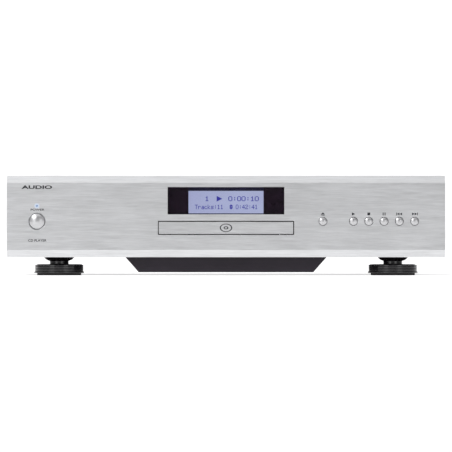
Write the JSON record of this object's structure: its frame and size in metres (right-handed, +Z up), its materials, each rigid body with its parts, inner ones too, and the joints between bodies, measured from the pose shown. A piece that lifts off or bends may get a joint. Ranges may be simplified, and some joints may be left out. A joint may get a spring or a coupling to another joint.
{
  "type": "cd player",
  "caption": "Full-width hi-fi disc player: thick silver front with display window, sliding disc tray, domed push buttons, dark belly and turned round feet.",
  "frame": {"origin": "middle of the footprint, on the plane the foot pads stand on", "axes": "+X to the right seen from the front, +Y to the back, +Z up"},
  "size_m": [0.43, 0.314, 0.098],
  "materials": {
    "silver_panel": "horizontally brushed, clear anodised",
    "silver_door": "horizontally brushed, clear anodised",
    "silver_button": "satin turned",
    "window": "polished smoked acrylic",
    "dark_plastic": "moulded",
    "socket_plastic": "moulded",
    "lcd": "backlit display glass",
    "board": "green solder mask",
    "zinc_steel": "zinc plated sheet",
    "lamp": "clear light pipe",
    "black_cover": "black powder coat",
    "belly": "satin black paint",
    "foot_gloss": "polished black",
    "foot_rubber": "moulded",
    "screw_steel": "bright steel",
    "screw_black": "blackened steel",
    "winding": "clear tape over copper winding",
    "sleeve": "shrink sleeve",
    "black_anodised": "black anodised",
    "gold": "gold plated",
    "cable": "flat cable",
    "loader_plastic": "moulded",
    "tray_plastic": "fine moulded grain",
    "white_plastic": "moulded acetal",
    "brass": "turned",
    "belt_rubber": "moulded",
    "damper_rubber": "moulded",
    "motor_steel": "drawn steel can",
    "turntable_plastic": "moulded",
    "sled_body": "die-cast",
    "lens": "polished lens in a holder"
  },
  "bodies": {
    "cabinet": {"front_panel": "silver_panel", "display_window": "window", "lcd_frame": "dark_plastic", "lcd_panel": "lcd", "front_board": "board", "front_bracket": "zinc_steel", "button_guide": "dark_plastic", "power_switch": "dark_plastic", "power_led": "lamp", "top_cover": "black_cover", "base_plate": "black_cover", "belly_pan": "belly", "rear_panel": "black_cover", "foot_front_left": "foot_gloss", "foot_front_right": "foot_gloss", "foot_rear_left": "foot_gloss", "foot_rear_right": "foot_gloss", "foot_pads": "foot_rubber", "foot_screws": "screw_steel", "screws": "screw_black", "transformer": "winding", "transformer_clamp": "zinc_steel", "main_board": "board", "capacitors": "sleeve", "heat_sink": "black_anodised", "phono_jacks": "gold", "coaxial_jack": "gold", "power_inlet": "dark_plastic", "link_jacks": "socket_plastic", "serial_jack": "zinc_steel", "ribbon_cable": "cable", "loader_frame": "loader_plastic", "clamp_bridge": "zinc_steel", "drive_belt": "belt_rubber", "loading_motor": "motor_steel"},
    "tray": {"disc_tray": "tray_plastic", "tray_door": "silver_door"},
    "drive_gear": {"drive_gear": "white_plastic"},
    "pulley_gear": {"pulley_gear": "white_plastic"},
    "motor_pulley": {"motor_pulley": "brass"},
    "cam": {"cam_slider": "white_plastic"},
    "lift": {"lift_frame": "loader_plastic", "dampers": "damper_rubber", "sub_chassis": "zinc_steel", "guide_rods": "screw_steel", "spindle_motor": "motor_steel", "sled_motor": "motor_steel"},
    "turntable": {"turntable": "turntable_plastic"},
    "sled": {"pickup_sled": "sled_body"},
    "lens": {"objective_lens": "lens"},
    "sled_gear": {"sled_gear": "white_plastic"},
    "sled_pinion": {"sled_pinion": "brass"},
    "clamper": {"clamper": "white_plastic"},
    "power_button": {"power_button": "silver_button"},
    "eject_button": {"eject_button": "silver_button"},
    "play_button": {"play_button": "silver_button"},
    "stop_button": {"stop_button": "silver_button"},
    "pause_button": {"pause_button": "silver_button"},
    "previous_button": {"previous_button": "silver_button"},
    "next_button": {"next_button": "silver_button"}
  },
  "joints": [
    {"name": "tray_slide", "type": "slide", "parent": "cabinet", "child": "tray", "axis": [0, -1, 0], "range_m": [0, 0.14]},
    {"name": "drive_gear_spin", "type": "hinge", "parent": "cabinet", "child": "drive_gear", "pos_m": [-0.046, -0.13, 0.038], "axis": [0, 0, -1], "range_deg": [0, 803]},
    {"name": "pulley_gear_spin", "type": "hinge", "parent": "cabinet", "child": "pulley_gear", "pos_m": [-0.0545, -0.11551, 0.031], "axis": [0, 0, 1], "range_deg": [0, 2408]},
    {"name": "motor_pulley_spin", "type": "hinge", "parent": "cabinet", "child": "motor_pulley", "pos_m": [-0.0545, -0.06951, 0.029], "axis": [0, 0, 1], "range_deg": [0, 4815]},
    {"name": "lift_hinge", "type": "hinge", "parent": "cabinet", "child": "lift", "pos_m": [0, 0.03, 0.036], "axis": [-1, 0, 0], "range_deg": [0, 3.12]},
    {"name": "cam_slide", "type": "slide", "parent": "cabinet", "child": "cam", "axis": [1, 0, 0], "range_m": [0, 0.014]},
    {"name": "turntable_spin", "type": "hinge", "parent": "lift", "child": "turntable", "pos_m": [0, -0.08249, 0.04189], "axis": [0, -0.0544, 0.9985], "continuous": true},
    {"name": "sled_slide", "type": "slide", "parent": "lift", "child": "sled", "axis": [0, 0.9985, 0.0544], "range_m": [0, 0.035]},
    {"name": "sled_gear_spin", "type": "hinge", "parent": "lift", "child": "sled_gear", "pos_m": [0.0306, -0.02392, 0.03306], "axis": [0, 0.0544, -0.9985], "range_deg": [0, 359]},
    {"name": "sled_pinion_spin", "type": "hinge", "parent": "lift", "child": "sled_pinion", "pos_m": [0.0306, -0.01521, 0.02953], "axis": [0, -0.0544, 0.9985], "range_deg": [0, 861]},
    {"name": "lens_focus", "type": "slide", "parent": "sled", "child": "lens", "axis": [0, -0.0544, 0.9985], "range_m": [-0.0005, 0.0005], "stiffness_N_per_m": 40},
    {"name": "clamper_spin", "type": "hinge", "parent": "cabinet", "child": "clamper", "pos_m": [0, -0.082, 0.054], "axis": [0, 0, 1], "continuous": true},
    {"name": "power_button_press", "type": "slide", "parent": "cabinet", "child": "power_button", "axis": [0, 1, 0], "range_m": [0, 0.0025], "stiffness_N_per_m": 500},
    {"name": "eject_button_press", "type": "slide", "parent": "cabinet", "child": "eject_button", "axis": [0, 1, 0], "range_m": [0, 0.0007], "stiffness_N_per_m": 900},
    {"name": "play_button_press", "type": "slide", "parent": "cabinet", "child": "play_button", "axis": [0, 1, 0], "range_m": [0, 0.0007], "stiffness_N_per_m": 900},
    {"name": "stop_button_press", "type": "slide", "parent": "cabinet", "child": "stop_button", "axis": [0, 1, 0], "range_m": [0, 0.0007], "stiffness_N_per_m": 900},
    {"name": "pause_button_press", "type": "slide", "parent": "cabinet", "child": "pause_button", "axis": [0, 1, 0], "range_m": [0, 0.0007], "stiffness_N_per_m": 900},
    {"name": "previous_button_press", "type": "slide", "parent": "cabinet", "child": "previous_button", "axis": [0, 1, 0], "range_m": [0, 0.0007], "stiffness_N_per_m": 900},
    {"name": "next_button_press", "type": "slide", "parent": "cabinet", "child": "next_button", "axis": [0, 1, 0], "range_m": [0, 0.0007], "stiffness_N_per_m": 900}
  ],
  "couplings": [
    {"joint": "drive_gear_spin", "follows": "tray_slide", "rad_per_m": 100},
    {"joint": "pulley_gear_spin", "follows": "tray_slide", "rad_per_m": 300},
    {"joint": "motor_pulley_spin", "follows": "tray_slide", "rad_per_m": 600},
    {"joint": "cam_slide", "follows": "lift_hinge", "m_per_rad": 0.257},
    {"joint": "sled_gear_spin", "follows": "sled_slide", "rad_per_m": 178.57},
    {"joint": "sled_pinion_spin", "follows": "sled_slide", "rad_per_m": 428.57}
  ]
}
